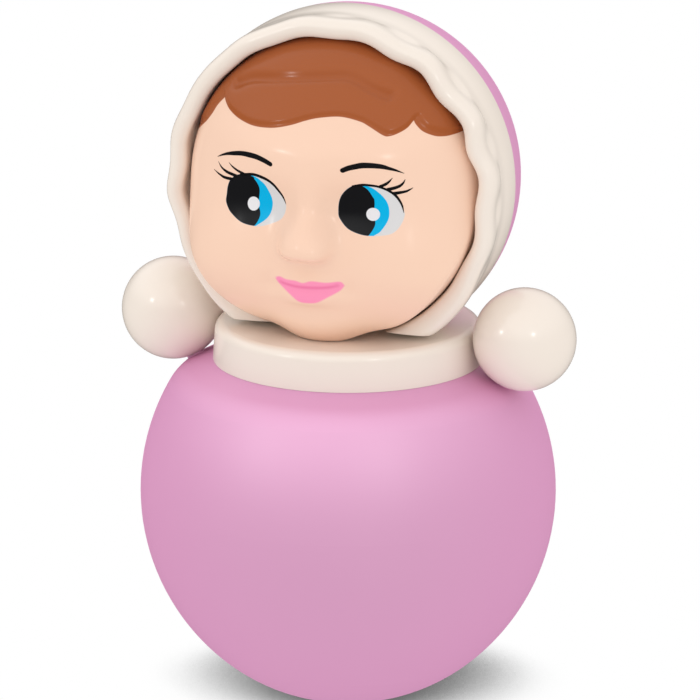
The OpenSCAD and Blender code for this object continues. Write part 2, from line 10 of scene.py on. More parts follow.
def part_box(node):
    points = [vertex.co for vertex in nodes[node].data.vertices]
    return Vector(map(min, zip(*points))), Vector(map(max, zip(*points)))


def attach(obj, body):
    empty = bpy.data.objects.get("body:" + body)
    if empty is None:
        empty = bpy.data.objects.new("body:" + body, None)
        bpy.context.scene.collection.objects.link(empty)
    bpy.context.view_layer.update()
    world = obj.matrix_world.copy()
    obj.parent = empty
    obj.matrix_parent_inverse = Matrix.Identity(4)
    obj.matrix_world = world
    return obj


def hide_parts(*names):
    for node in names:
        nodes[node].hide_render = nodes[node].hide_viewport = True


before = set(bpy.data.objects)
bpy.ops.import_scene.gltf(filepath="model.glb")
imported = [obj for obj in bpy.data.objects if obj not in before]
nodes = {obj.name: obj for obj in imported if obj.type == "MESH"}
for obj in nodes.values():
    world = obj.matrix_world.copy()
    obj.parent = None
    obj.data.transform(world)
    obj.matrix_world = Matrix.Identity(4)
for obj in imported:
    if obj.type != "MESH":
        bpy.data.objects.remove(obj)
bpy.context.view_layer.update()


# Lower and upper half of the body: thin pink plastic, injection moulded with a satin
# finish. They meet at the widest level in a flush lap joint, which is glued.
PINK = (220, 153, 194)
PINK_DEEP = (218, 150, 192)
# Clear haze on the satin plastic: its roughness and index
HAZE_SPREAD = 0.5
HAZE_IOR = 2.0
# Noise of the faint clouding and of the fine skin of mouldings, and the depth of that skin in metres
CLOUD_SCALE, CLOUD_DETAIL = 28, 2
SKIN_SCALE, SKIN_DETAIL = 1400, 3
SKIN_DEPTH = 0.00002


def srgb(colour, alpha=1.0):
    """Linear colour of a colour that is written as red, green and blue from 0 to 255."""
    linear = []
    for level in colour:
        share = level / 255
        linear.append(share / 12.92 if share <= 0.04045 else ((share + 0.055) / 1.055) ** 2.4)
    return (*linear, alpha)


def moulded_finish_group():
    """Shader group of moulded plastic: faint clouding, uneven gloss and a very fine skin."""
    group = bpy.data.node_groups.new("moulded_finish", "ShaderNodeTree")
    sockets = group.interface
    for name, kind in (
        ("Colour", "NodeSocketColor"),
        ("Deep colour", "NodeSocketColor"),
        ("Gloss low", "NodeSocketFloat"),
        ("Gloss high", "NodeSocketFloat"),
        ("Skin height", "NodeSocketFloat"),
    ):
        sockets.new_socket(name, in_out="INPUT", socket_type=kind)
    for name, kind in (
        ("Colour", "NodeSocketColor"),
        ("Roughness", "NodeSocketFloat"),
        ("Normal", "NodeSocketVector"),
    ):
        sockets.new_socket(name, in_out="OUTPUT", socket_type=kind)
    make, link = group.nodes.new, group.links.new
    entry, leave = make("NodeGroupInput"), make("NodeGroupOutput")
    place = make("ShaderNodeTexCoord")

    clouds = make("ShaderNodeTexNoise")
    clouds.inputs["Scale"].default_value = CLOUD_SCALE
    clouds.inputs["Detail"].default_value = CLOUD_DETAIL
    link(place.outputs["Object"], clouds.inputs["Vector"])
    tint = make("ShaderNodeMix")
    tint.data_type = "RGBA"
    link(clouds.outputs["Fac"], tint.inputs["Factor"])
    link(entry.outputs["Colour"], tint.inputs["A"])
    link(entry.outputs["Deep colour"], tint.inputs["B"])
    link(tint.outputs["Result"], leave.inputs["Colour"])

    skin = make("ShaderNodeTexNoise")
    skin.inputs["Scale"].default_value = SKIN_SCALE
    skin.inputs["Detail"].default_value = SKIN_DETAIL
    link(place.outputs["Object"], skin.inputs["Vector"])
    gloss = make("ShaderNodeMapRange")
    link(skin.outputs["Fac"], gloss.inputs["Value"])
    link(entry.outputs["Gloss low"], gloss.inputs["To Min"])
    link(entry.outputs["Gloss high"], gloss.inputs["To Max"])
    link(gloss.outputs["Result"], leave.inputs["Roughness"])
    relief = make("ShaderNodeBump")
    relief.inputs["Distance"].default_value = SKIN_DEPTH
    link(entry.outputs["Skin height"], relief.inputs["Strength"])
    link(skin.outputs["Fac"], relief.inputs["Height"])
    link(relief.outputs["Normal"], leave.inputs["Normal"])
    return group


moulded_finish = moulded_finish_group()


def moulded_plastic(name, colour, deep, gloss, skin, specular, haze=0.0):
    """Plastic with the moulded finish: roughness from low to high, strength of the skin, haze face on."""
    material = bpy.data.materials.new(name)
    material.use_nodes = True
    make, link = material.node_tree.nodes.new, material.node_tree.links.new
    shader = material.node_tree.nodes["Principled BSDF"]
    finish = make("ShaderNodeGroup")
    finish.node_tree = moulded_finish
    finish.inputs["Colour"].default_value = srgb(colour)
    finish.inputs["Deep colour"].default_value = srgb(deep)
    finish.inputs["Gloss low"].default_value = gloss[0]
    finish.inputs["Gloss high"].default_value = gloss[1]
    finish.inputs["Skin height"].default_value = skin
    link(finish.outputs["Colour"], shader.inputs["Base Color"])
    link(finish.outputs["Roughness"], shader.inputs["Roughness"])
    link(finish.outputs["Normal"], shader.inputs["Normal"])
    shader.inputs["Specular IOR Level"].default_value = specular
    if haze:
        edge, veil = make("ShaderNodeLayerWeight"), make("ShaderNodeMapRange")
        veil.inputs["To Min"].default_value = haze
        veil.inputs["To Max"].default_value = 0.0
        link(edge.outputs["Facing"], veil.inputs["Value"])
        link(veil.outputs["Result"], shader.inputs["Coat Weight"])
        shader.inputs["Coat Roughness"].default_value = HAZE_SPREAD
        shader.inputs["Coat IOR"].default_value = HAZE_IOR
    return material


def dress(material, *names):
    """Give CAD nodes a material in place of the one they were packed with."""
    for name in names:
        slots = nodes[name].data.materials
        slots.clear()
        slots.append(material)


pink_plastic = moulded_plastic(
    "pink_satin", PINK, PINK_DEEP, gloss=(0.5, 0.6), skin=0.25, specular=0.05, haze=1.0,
)
dress(pink_plastic, "lower_bowl", "upper_dome")


# Ballast: a cast iron bowl of a weight that fills the bottom of the body and rights the
# toy. Its skin is as cast, dark grey and coarse, under a thin coat of oil.
IRON = (58, 58, 60)
IRON_PALE = (92, 91, 90)
GRAIN_DETAIL = 6
GRAIN_STRENGTH = 0.5


def worked_metal(name, colour, pale, grain, stretch, gloss, bump):
    """Metal with streaks or grains: their scale and stretch, roughness from low to high, depth."""
    material = bpy.data.materials.new(name)
    material.use_nodes = True
    make, link = material.node_tree.nodes.new, material.node_tree.links.new
    shader = material.node_tree.nodes["Principled BSDF"]
    place, turn = make("ShaderNodeTexCoord"), make("ShaderNodeMapping")
    turn.inputs["Scale"].default_value = stretch
    link(place.outputs["Object"], turn.inputs["Vector"])
    streaks = make("ShaderNodeTexNoise")
    streaks.inputs["Scale"].default_value = grain
    streaks.inputs["Detail"].default_value = GRAIN_DETAIL
    link(turn.outputs["Vector"], streaks.inputs["Vector"])
    tint = make("ShaderNodeMix")
    tint.data_type = "RGBA"
    tint.inputs["A"].default_value = srgb(colour)
    tint.inputs["B"].default_value = srgb(pale)
    link(streaks.outputs["Fac"], tint.inputs["Factor"])
    link(tint.outputs["Result"], shader.inputs["Base Color"])
    rough = make("ShaderNodeMapRange")
    rough.inputs["To Min"].default_value = gloss[0]
    rough.inputs["To Max"].default_value = gloss[1]
    link(streaks.outputs["Fac"], rough.inputs["Value"])
    link(rough.outputs["Result"], shader.inputs["Roughness"])
    relief = make("ShaderNodeBump")
    relief.inputs["Strength"].default_value = GRAIN_STRENGTH
    relief.inputs["Distance"].default_value = bump
    link(streaks.outputs["Fac"], relief.inputs["Height"])
    link(relief.outputs["Normal"], shader.inputs["Normal"])
    shader.inputs["Metallic"].default_value = 1.0
    return material


cast_iron = worked_metal(
    "cast_iron", IRON, IRON_PALE, grain=700, stretch=(1, 1, 1), gloss=(0.55, 0.8), bump=0.0004,
)
dress(cast_iron, "ballast")


# Chime: grey plastic base and bridge, a zinc plated rod plate with eight drawn steel rods
# pressed into it, and the screws that hold it all down on the bosses of the body.
GREY = (150, 152, 158)
GREY_DEEP = (136, 138, 144)
ZINC = (196, 199, 205)
ZINC_PALE = (224, 226, 230)
DRAWN = (205, 207, 212)
DRAWN_PALE = (232, 233, 236)
RODS = [f"chime_rod_{k}" for k in range(1, 9)]

grey_plastic = moulded_plastic("grey_moulding", GREY, GREY_DEEP, gloss=(0.4, 0.55), skin=0.5, specular=0.4)
zinc_plate = worked_metal(
    "zinc_plate", ZINC, ZINC_PALE, grain=500, stretch=(1, 1, 0.2), gloss=(0.28, 0.45), bump=0.00004,
)
drawn_steel = worked_metal(
    "drawn_steel", DRAWN, DRAWN_PALE, grain=900, stretch=(1, 1, 0.03), gloss=(0.12, 0.3), bump=0.00003,
)
dress(grey_plastic, "chime_base", "bridge", "swing_link")
dress(zinc_plate, "rod_plate", "rod_plate_screw", "base_screws", "bridge_screws")
dress(drawn_steel, *RODS)


# Clapper: a turned brass ball on a steel stem. Its fork and the plastic link turn on two
# crossed pins under the bridge, so that the ball swings to all sides.
BRASS = (196, 160, 92)
BRASS_PALE = (226, 196, 130)

turned_brass = worked_metal(
    "turned_brass", BRASS, BRASS_PALE, grain=400, stretch=(0.05, 0.05, 4), gloss=(0.18, 0.34), bump=0.00003,
)
dress(turned_brass, "clapper_ball")
dress(zinc_plate, "clapper_stem", "clapper_pin", "hanger_pin")


# Collar: a glossy cream plastic ring with a rounded upper edge. It stands on the shoulder,
# and the neck tube and its ring nut clamp it between the body and the head.
CREAM = (241, 230, 219)
CREAM_DEEP = (239, 227, 215)

cream_plastic = moulded_plastic(
    "cream_gloss", CREAM, CREAM_DEEP, gloss=(0.16, 0.22), skin=0.08, specular=0.3,
)
dress(cream_plastic, "collar", "neck_tube")
dress(grey_plastic, "neck_nut")


# Hands: two glossy cream balls, each pushed on a plastic peg through the rounding of the
# body. Inside, a spring steel clip holds the peg.
dress(cream_plastic, "hand_left", "hand_right")
dress(pink_plastic, "hand_peg_left", "hand_peg_right")
dress(zinc_plate, "hand_clip_left", "hand_clip_right")


# Back of the hood: the same pink plastic as the body, a thin round shell. Its floor is
# what the neck tube clamps, and the front of the hood laps over it.
dress(pink_plastic, "hood_back")


# Front of the hood: one cream moulding, a round band that ends in a soft, wavy frill. Its
# tongue sits in the back half and a thin lap covers the joint. The ledge takes the face.
MM = 0.001
PARTING = 2.9
HOOD_WALL = 2.2
HOOD_LAP = 2.9
LAP_OVER, LAP_RISE, LAP_THICK, LAP_SEAT = 0.6, 2.0, 0.12, 0.01
LAP_RISE_OVER = 50
TONGUE_PLAY = 0.1
LEDGE = 8.0
CHIN_GAP = 12.0
NECK_PLAY = 0.02
# The ends of the frill are cut off over the collar, rising towards the front
END_RISE = 1 / 9
HOOD_STEPS = 360
BAND_ROWS, BAND_MARGIN = 10, 1.5
INNER_DEPTHS = (-4, 0, PARTING, PARTING + HOOD_LAP)
FRILL_FINE = 4
SHARP_FROM = math.radians(50)
# Radius and depth of the frill, from the band over its crest and lip back to the ledge
FRILL = [
    (52.6, -7), (52.65, -9.5), (52.8, -12), (52.9, -14), (52.85, -15.6), (52.5, -17), (51.8, -18.1),
    (50.7, -18.75), (49.5, -18.75), (48.5, -18.3), (47.8, -17.7), (47.4, -17), (47.25, -16.2), (47.2, -15),
    (47.2, -12), (47.2, -LEDGE),
]
# Turn of each wave's peak about the head, and its height
WAVES = [
    (-42, 0), (-17, 0.55), (7, 0.8), (28, 1.0), (53, 1.0), (77, 0.45), (101, 0.3), (124, 0.2), (143, 0.05),
    (165, 0.4), (187, 0.7), (210, 0.2), (232, 0),
]
WAVE_SWAY = 0.4
WAVE_FROM, WAVE_OVER = 9, 4
# The ring of the lip sits a little low: how much, within which radius, and two soft changes
LIP_DROP, LIP_R, LIP_OVER, LEDGE_OVER = 0.4, 51, 3, 2.5
# Both ends of the frill flare out towards the collar: angles from the chin, amount, radius, depth
FLARE_FROM, FLARE_OVER, FLARE = 75, 35, 2.0
FLARE_R, FLARE_R_OVER, FLARE_DEEP, FLARE_DEEP_OVER = 48, 3, 4, 8

hood_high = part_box("hood_back")[1]
HEAD_R = hood_high.x / MM
HEAD_AT = Vector((0, 0, hood_high.z - hood_high.x))
NECK_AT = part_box("collar")[1].z


def smooth(share):
    """Soft step from 0 to 1, on numbers or arrays."""
    held = np.clip(share, 0.0, 1.0)
    return held * held * (3 - 2 * held)


def flowing(points, closed=False, fine=8):
    """Smooth line through points of two numbers each."""
    knots = np.array(points, dtype=float)
    if closed:
        knots = np.vstack([knots[-1:], knots, knots[:2]])
    else:
        knots = np.vstack([2 * knots[0] - knots[1], knots, 2 * knots[-1] - knots[-2]])
    line = []
    for a, b, c, d in zip(knots, knots[1:], knots[2:], knots[3:]):
        for t in np.arange(fine) / fine:
            line.append(b + t * (c - a) / 2 + t ** 2 * (a - 2.5 * b + 2 * c - d / 2)
                        + t ** 3 * (1.5 * (b - c) + (d - a) / 2))
    if not closed:
        line.append(knots[-2])
    return np.array(line)


def hood_ring(y, inset=0.0):
    """Radius of the round hood at a distance behind the middle of the head."""
    return math.sqrt((HEAD_R - inset) ** 2 - y ** 2)


def hood_section():
    """Radius and depth of the front of the hood, once round its section."""
    lap_end, band_end = PARTING + LAP_OVER, FRILL[0][1] + BAND_MARGIN
    section = [(hood_ring(y) + LAP_SEAT, y) for y in (PARTING, lap_end)]
    section += [(hood_ring(lap_end) + LAP_THICK, lap_end)]
    section += [(hood_ring(y) + LAP_THICK, y) for y in np.linspace(PARTING, band_end, BAND_ROWS)]
    section += [tuple(spot) for spot in flowing(FRILL, fine=FRILL_FINE)]
    section += [(hood_ring(LEDGE, HOOD_WALL), -LEDGE)]
    section += [(hood_ring(y, HOOD_WALL), y) for y in INNER_DEPTHS]
    section += [(hood_ring(y, HOOD_WALL / 2 + TONGUE_PLAY), y) for y in (PARTING + HOOD_LAP, PARTING)]
    return section


def shape_hood(mesh):
    """Wave the frill, drop its lip, flare its ends and run the lap further back at the top."""
    peaks, heights = np.array(WAVES).T
    for vert in mesh.verts:
        x, y, z = (vert.co - HEAD_AT) / MM
        across = math.hypot(x, z)
        turn = (math.degrees(math.atan2(z, x)) + 90) % 360 - 90
        hold = float(smooth((-y - WAVE_FROM) / WAVE_OVER)) * np.interp(turn, peaks, heights)
        phase = math.tau * np.interp(turn, peaks, np.arange(len(peaks)))
        from_chin = 180 - abs(turn - 90)
        inside = float(smooth((LIP_R - across) / LIP_OVER) * smooth((-y - LEDGE) / LEDGE_OVER))
        outside = float(
            smooth((across - FLARE_R) / FLARE_R_OVER) * smooth((-y - FLARE_DEEP) / FLARE_DEEP_OVER)
        )
        out = hold * math.cos(phase) - inside * LIP_DROP * math.sin(math.radians(turn))
        out += FLARE * outside * float(smooth((FLARE_FROM - from_chin) / FLARE_OVER))
        y += WAVE_SWAY * hold * math.sin(phase)
        if y > PARTING + LAP_OVER / 2 and across > HEAD_R - HOOD_WALL / 2:
            thick = across - hood_ring(y)
            y += LAP_RISE * float(smooth(z / LAP_RISE_OVER))
            out = hood_ring(y) + thick - across
        grown = 1 + out / across
        vert.co = HEAD_AT + Vector((x * grown, y, z * grown)) * MM


def cut(mesh, place, normal, clear=False):
    """Cut a mesh along a plane and, where that is asked for, clear away what lies behind it."""
    bmesh.ops.bisect_plane(
        mesh, geom=mesh.verts[:] + mesh.edges[:] + mesh.faces[:],
        plane_co=place, plane_no=normal, clear_inner=clear,
    )


def close_cut(mesh):
    """Close the open ends that a cut has left."""
    rim = [edge for edge in mesh.edges if edge.is_boundary]
    bmesh.ops.holes_fill(mesh, edges=rim, sides=0)


def piece(name, mesh, material):
    """Finish a mesh as a smooth piece that rides on the doll."""
    data = bpy.data.meshes.new(name)
    mesh.to_mesh(data)
    mesh.free()
    data.shade_smooth()
    data.set_sharp_from_angle(angle=SHARP_FROM)
    data.materials.append(material)
    made = bpy.data.objects.new(name, data)
    bpy.context.scene.collection.objects.link(made)
    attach(made, "doll")
    return made


hood = bmesh.new()
ring = [hood.verts.new(HEAD_AT + Vector((r, y, 0)) * MM) for r, y in hood_section()]
loop = [hood.edges.new((ring[i - 1], ring[i])) for i in range(len(ring))]
bmesh.ops.spin(
    hood, geom=ring + loop, cent=HEAD_AT, axis=(0, 1, 0), angle=math.tau, steps=HOOD_STEPS, use_merge=True,
)
shape_hood(hood)
for end_rise in (0, END_RISE):
    cut(hood, (0, 0, NECK_AT + NECK_PLAY * MM), (0, end_rise, 1), clear=True)
    close_cut(hood)
for side in (-1, 1):
    cut(hood, (side * CHIN_GAP * MM, 0, 0), (1, 0, 0))
behind_chin = [
    part for part in hood.faces
    if abs(part.calc_center_median().x) < CHIN_GAP * MM and part.calc_center_median().z < HEAD_AT.z
]
bmesh.ops.delete(hood, geom=behind_chin, context="FACES")
close_cut(hood)
bmesh.ops.recalc_face_normals(hood, faces=hood.faces[:])
hood_front = piece("hood_frill", hood, cream_plastic)
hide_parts("hood_front")


# Face: a glossy skin-coloured mask, moulded with its nose, lips, cheeks, chin and hair, and
# set in from behind against the ledge of the hood. Hair, eyes and lips are printed on it.
SKIN = (247, 210, 186)
SKIN_DEEP = (245, 207, 183)
HAIR = (164, 88, 47)
EYE_WHITE = (217, 215, 215)
IRIS = (2, 177, 227)
INK = (24, 24, 26)
GLINT = (232, 230, 232)
LIPS = (252, 150, 186)
# Darker pink of the painted shade where the lips meet, under the upper lip
LIP_SHADE = (238, 122, 164)
FACE_R = 48.14
FACE_DEPTH = 39.5
FACE_WALL = 2.2
FACE_RIM = math.degrees(math.acos(LEDGE / FACE_DEPTH))
FACE_PLAY = 0.3
FACE_FLANGE_R = hood_ring(LEDGE, HOOD_WALL) - FACE_PLAY
FACE_CELLS = 210
FINE_CUTS = 2
INNER_RINGS, INNER_START = 16, 2
RELIEF_END, RELIEF_FADE = 68, 12
HAIR_LIFT, HAIR_ROLL = 0.6, 1.6
CREASE_DEPTH, CREASE_WIDTH = 1.2, 1.3
# Middle x and z, half width, half height upwards and downwards, lift: bridge and tip of the nose, jaw,
# chin, lower chin, grooves over the chin and under the nose, upper lip, lower lip, the line between
RELIEF = [
    (0, -2, 3.2, 8, 7, 1.8),
    (0.3, -11.3, 3.8, 4.8, 3.0, 7.0),
    (0, -34, 17, 11, 11, 7.0),
    (0, -34.5, 8, 3.5, 3.5, 1.2),
    (0, -41.5, 7.5, 6, 6, 1.4),
    (0, -29.3, 6, 1.6, 1.6, -0.9),
    (0, -18.5, 1.6, 2.5, 2.5, -0.5),
    (0, -22, 5.5, 1.6, 1.6, 1.0),
    (0, -25.8, 5.5, 1.8, 1.8, 1.7),
    (0, -23.6, 6.5, 0.7, 0.7, -0.9),
]
# The same on both sides: nose wings, eye hollows, brows, upper cheeks, mouth corners, sides of the chin
PAIRED_RELIEF = [
    (5.1, -12.2, 2.6, 3.2, 2.4, 3.8),
    (13, -1, 8, 6.5, 8, -4.2),
    (14, 13, 13, 6, 6, 2.0),
    (22, -18, 10, 9, 9, 1.5),
    (11, -22.8, 2, 2, 2, -0.8),
    (14, -42, 5, 6, 6, -1.2),
]
# Full lower cheeks and the fold below the chin, which run out at the rim
CHEEKS = [
    (-31.1, -21, 10.2, 9.2, 15.5, 7.6),
    (31.1, -21, 10.2, 9.2, 15.5, 7.6),
    (0, -38, 16, 5, 5, -0.8),
]
CHEEK_FADE = 15
# The mask is a little fuller towards its rim: lift, angle where it starts and two fades
RIM_FULL, RIM_FROM, RIM_OVER, RIM_FADE = 1.15, 42, 22, 14
# The wall of the hood holds in what is wider than this radius, softly
WALL_FROM, WALL_SOFT = 45.5, 1.5
# Outlines of the prints as x and z in millimetres from the middle of the head
HAIR_EDGE = [
    [(-52, 6), (-41.5, 15.9), (-38.8, 18.4), (-36.6, 21.2), (-34.8, 24.1), (-32.5, 26.6)],
    [(-32.5, 26.6), (-31.4, 25.4), (-29.5, 24), (-26.3, 22.7), (-22.6, 21.9), (-18.4, 21.5), (-13.2, 21.8),
     (-9.4, 22.5), (-5.5, 23.6), (-1.9, 24.9), (2.4, 26), (8.7, 26.6), (14.5, 25.5), (17.6, 24.1),
     (22, 21.6), (23.7, 21.3), (25.8, 21.9), (28.1, 23.3), (29.5, 25.3)],
    [(29.5, 25.3), (30.2, 24.2), (32.2, 22.2), (34.8, 20.8), (37.2, 20.1), (40.8, 20.2), (52, 22)],
    [(52, 22), (52, 60), (-52, 60), (-52, 6)],
]
HAIR_CREASE = [
    (-28, 30.5), (-21.4, 33.3), (-7.8, 35.6), (4.8, 36.9), (10.1, 36.5), (16.6, 33.6), (21.5, 31.7),
]
EYES = [
    [(-28, -2.8), (-27.9, -0.8), (-27.6, 1.8), (-26.6, 4), (-24.3, 5.9), (-21, 6.9), (-17.2, 7.1),
     (-13.1, 5.9), (-9.9, 2.7), (-7.7, -1.2), (-7.5, -2.6), (-8, -4.6), (-9.7, -6.5), (-14.3, -8.5),
     (-17.9, -8.9), (-22.1, -8.2), (-25.6, -6.1), (-27, -4.7)],
    [(9.1, -2.2), (9.3, 0.6), (10.3, 3), (12.1, 5.1), (14.2, 6.5), (16.8, 7.1), (20.3, 6.8), (24, 5.5),
     (27.2, 2.9), (29.1, -1.4), (29.2, -3.1), (28.6, -5), (27.4, -6.9), (25.3, -8.2), (20.8, -8.8),
     (16.8, -8.7), (12.5, -7.3), (9.7, -4.4)],
]
IRISES = [
    [(-28.5, 8), (-18.7, 6.8), (-15.4, 5.1), (-13.8, 2.9), (-12.3, -1.5), (-13.2, -5.6), (-16.8, -8.6),
     (-20, -10), (-30, -8)],
    [(9, 8), (17.5, 6.8), (21.1, 5), (24.2, 1.2), (24.8, -3.3), (22.9, -7.1), (21.1, -8.5), (18, -10),
     (8, -8)],
]
PUPILS = [
    [(-28.5, 8), (-19.1, 6.6), (-17.8, 5.5), (-16.9, 4), (-16.5, 2.1), (-16.9, -2.1), (-16.1, -5.6),
     (-17.5, -8.7), (-20, -10), (-30, -8)],
    [(9, 8), (17, 6.5), (19.8, 3), (20.3, 1.4), (20.2, -2.5), (20.8, -5.6), (19, -8.9), (17, -10), (8, -8)],
]
GLINTS = [(-18.5, -2.4, 1.95, 2.1), (19.9, -2.5, 2.15, 1.95)]
LIP_OUTLINE = [
    [(-10.5, -23.9), (-8.6, -23.4), (-6.5, -24), (-3.3, -24.1), (-0.9, -24.6), (1.9, -23.8), (6.4, -24),
     (10.5, -23.6), (11.8, -24.8)],
    [(11.8, -24.8), (10.3, -26.6), (7, -28.6), (3.4, -30.6), (0.5, -31), (-2.3, -30.8), (-5.2, -28.8),
     (-8.9, -26), (-10.5, -23.9)],
]
# Line where the lips meet, along which the painted shade under the upper lip runs
LIPS_MEET = [(-8.4, -25), (-6.9, -25.5), (-3, -26.1), (2.6, -26), (7.1, -25.5), (9.7, -24.8)]
# Areas whose prints need a finer mesh: least and greatest distance from the middle, and z
FINE_AREAS = [(6, 30.5, -10.5, 8.5), (0, 12.5, -32.5, -22.5), (27, 35, 22, 28)]
# Half width of the band of painted shade along the line where the lips meet
LIP_SHADE_HALF = 0.35
# The flange and the inside count as far from every outline, so that no print and no painted shade falls on
# them
PRINT_BACK, FAR_OFF = 0.5, 100.0


def swell(x, z, rows):
    """How far soft mounds stand out of the plain round of the face, on arrays."""
    total = np.zeros_like(x)
    for mid_x, mid_z, wide, up, down, lift in rows:
        tall = np.where(z > mid_z, up, down)
        total += lift * np.exp(-((x - mid_x) / wide) ** 2 / 2 - ((z - mid_z) / tall) ** 2 / 2)
    return total


def line_distance(x, z, line):
    """Distance of points to a line."""
    least = np.full(len(x), np.inf)
    for (ax, az), (bx, bz) in zip(line, line[1:]):
        run_x, run_z = bx - ax, bz - az
        along = ((x - ax) * run_x + (z - az) * run_z) / max(run_x ** 2 + run_z ** 2, 1e-12)
        along = np.clip(along, 0, 1)
        least = np.minimum(least, np.hypot(x - ax - along * run_x, z - az - along * run_z))
    return least


def outline_distance(x, z, outline):
    """Distance of points to a closed outline, negative inside."""
    ring = np.vstack([outline, outline[:1]])
    inside = np.zeros(len(x), dtype=bool)
    for (ax, az), (bx, bz) in zip(ring, ring[1:]):
        if az == bz:
            continue
        crossing = ((az > z) != (bz > z)) & (x < (bx - ax) * (z - az) / (bz - az) + ax)
        inside ^= crossing
    return line_distance(x, z, ring) * np.where(inside, -1, 1)


hair_outline = np.vstack([flowing(part) for part in HAIR_EDGE[:-1]] + [HAIR_EDGE[-1]])
lip_outline = np.vstack([flowing(part)[:-1] for part in LIP_OUTLINE])
crease_line = flowing(HAIR_CREASE)


def face_base(angle, turn, inset=0.0):
    """Points of the plain round of the face, at an angle from its middle and a turn, in degrees."""
    lean, about = np.radians(angle), np.radians(turn)
    across = (FACE_R - inset) * np.sin(lean)
    return np.stack(
        [across * np.cos(about), -(FACE_DEPTH - inset) * np.cos(lean), across * np.sin(about)], axis=-1
    )


def face_points(angle, turn, inset=0.0, hair=False):
    """Points of the moulded face, its hair raised a little where that is asked for."""
    base = face_base(angle, turn, inset)
    x, z = base[..., 0], base[..., 2]
    paired = [(side * row[0], *row[1:]) for row in PAIRED_RELIEF for side in (-1, 1)]
    lift = swell(x, z, RELIEF + paired) * smooth((RELIEF_END - angle) / RELIEF_FADE)
    lift += swell(x, z, CHEEKS) * smooth((FACE_RIM - angle) / CHEEK_FADE)
    lift += RIM_FULL * smooth((FACE_RIM - angle) / RIM_FADE) * smooth((angle - RIM_FROM) / RIM_OVER)
    if hair:
        lift += HAIR_LIFT * smooth(-outline_distance(x, z, hair_outline) / HAIR_ROLL)
        lift -= CREASE_DEPTH * np.exp(-(line_distance(x, z, crease_line) / CREASE_WIDTH) ** 2)
    points = base * (1 + lift / np.linalg.norm(base, axis=-1))[..., None]
    across = np.maximum(np.hypot(points[..., 0], points[..., 2]), WALL_SOFT)
    over = np.maximum(across - WALL_FROM + inset, 0)
    held = (across - over + WALL_SOFT * np.tanh(over / WALL_SOFT)) / across
    points[..., 0] *= held
    points[..., 2] *= held
    return points


def set_points(verts, points):
    """Move vertices to points that are given in millimetres from the middle of the head."""
    for vert, point in zip(verts, points):
        vert.co = HEAD_AT + Vector(point) * MM


def disc_place(flat):
    """Angle and turn on the face of points of a square from -1 to 1."""
    disc = flat * np.sqrt(1 - flat[:, ::-1] ** 2 / 2)
    angle = np.hypot(disc[:, 0], disc[:, 1]) * FACE_RIM
    return angle, np.degrees(np.arctan2(disc[:, 1], disc[:, 0]))


def rim_ring(mesh, edges):
    """Extrude a rim of edges and give its new vertices and edges."""
    grown = bmesh.ops.extrude_edge_only(mesh, edges=edges)["geom"]
    verts = [part for part in grown if isinstance(part, bmesh.types.BMVert)]
    held = set(verts)
    edges = [part for part in grown if isinstance(part, bmesh.types.BMEdge)]
    return verts, [edge for edge in edges if edge.verts[0] in held and edge.verts[1] in held]


def turns_of(verts):
    """Turn of vertices about the middle of the face, in degrees."""
    return np.array([math.degrees(math.atan2(vert.co.z - HEAD_AT.z, vert.co.x)) for vert in verts])


face = bmesh.new()
bmesh.ops.create_grid(face, x_segments=FACE_CELLS, y_segments=FACE_CELLS, size=1)
middles = np.array([part.calc_center_median()[:2] for part in face.faces])
spots = face_base(*disc_place(middles))
fine = np.zeros(len(spots), dtype=bool)
for near, far, low, high in FINE_AREAS:
    off, level = np.abs(spots[:, 0]), spots[:, 2]
    fine |= (off > near) & (off < far) & (level > low) & (level < high)
face.faces.ensure_lookup_table()
fine_edges = {edge for i in np.flatnonzero(fine) for edge in face.faces[i].edges}
bmesh.ops.subdivide_edges(face, edges=list(fine_edges), cuts=FINE_CUTS, use_grid_fill=True)
angles, turns = disc_place(np.array([vert.co[:2] for vert in face.verts]))
set_points(face.verts, face_points(angles, turns, hair=True))

rim = [edge for edge in face.edges if edge.is_boundary]
for depth in (-LEDGE, -LEDGE + FACE_WALL):
    verts, rim = rim_ring(face, rim)
    around = np.radians(turns_of(verts))
    ring_x, ring_z = FACE_FLANGE_R * np.cos(around), FACE_FLANGE_R * np.sin(around)
    set_points(verts, np.stack([ring_x, np.full_like(around, depth), ring_z], axis=-1))
for step in range(INNER_RINGS):
    verts, rim = rim_ring(face, rim)
    around = turns_of(verts)
    lean = np.full_like(around, (FACE_RIM - INNER_START) * (1 - step / INNER_RINGS))
    set_points(verts, face_points(lean, around, FACE_WALL))
pole = face_points(np.array(0.0), np.array(0.0), FACE_WALL)
bmesh.ops.pointmerge(face, verts=verts, merge_co=HEAD_AT + Vector(pole) * MM)
cut(face, (0, 0, NECK_AT + FACE_PLAY * MM), (0, 0, 1), clear=True)
close_cut(face)
bmesh.ops.recalc_face_normals(face, faces=face.faces[:])


def keep_print_and_shade_outline(mesh, name, distance):
    """Keep the distance to the outline of a print, or of the painted shade where the lips meet, on a mesh,
    in millimetres.
    """
    layer = mesh.attributes.new(name, "FLOAT", "POINT")
    layer.data.foreach_set("value", distance.astype(np.float32))


def layer_print_and_shade(tree, under, name, colour, edge):
    """Colour laid over another one, inside the outline that a mesh keeps by name: a print, or the painted
    shade where the lips meet.
    """
    make, link = tree.nodes.new, tree.links.new
    kept, mask, layer = make("ShaderNodeAttribute"), make("ShaderNodeMapRange"), make("ShaderNodeMix")
    kept.attribute_name = name
    mask.inputs["From Min"].default_value = edge
    mask.inputs["From Max"].default_value = -edge
    link(kept.outputs["Fac"], mask.inputs["Value"])
    layer.data_type = "RGBA"
    link(mask.outputs["Result"], layer.inputs["Factor"])
    link(under, layer.inputs["A"])
    layer.inputs["B"].default_value = srgb(colour)
    return layer.outputs["Result"]


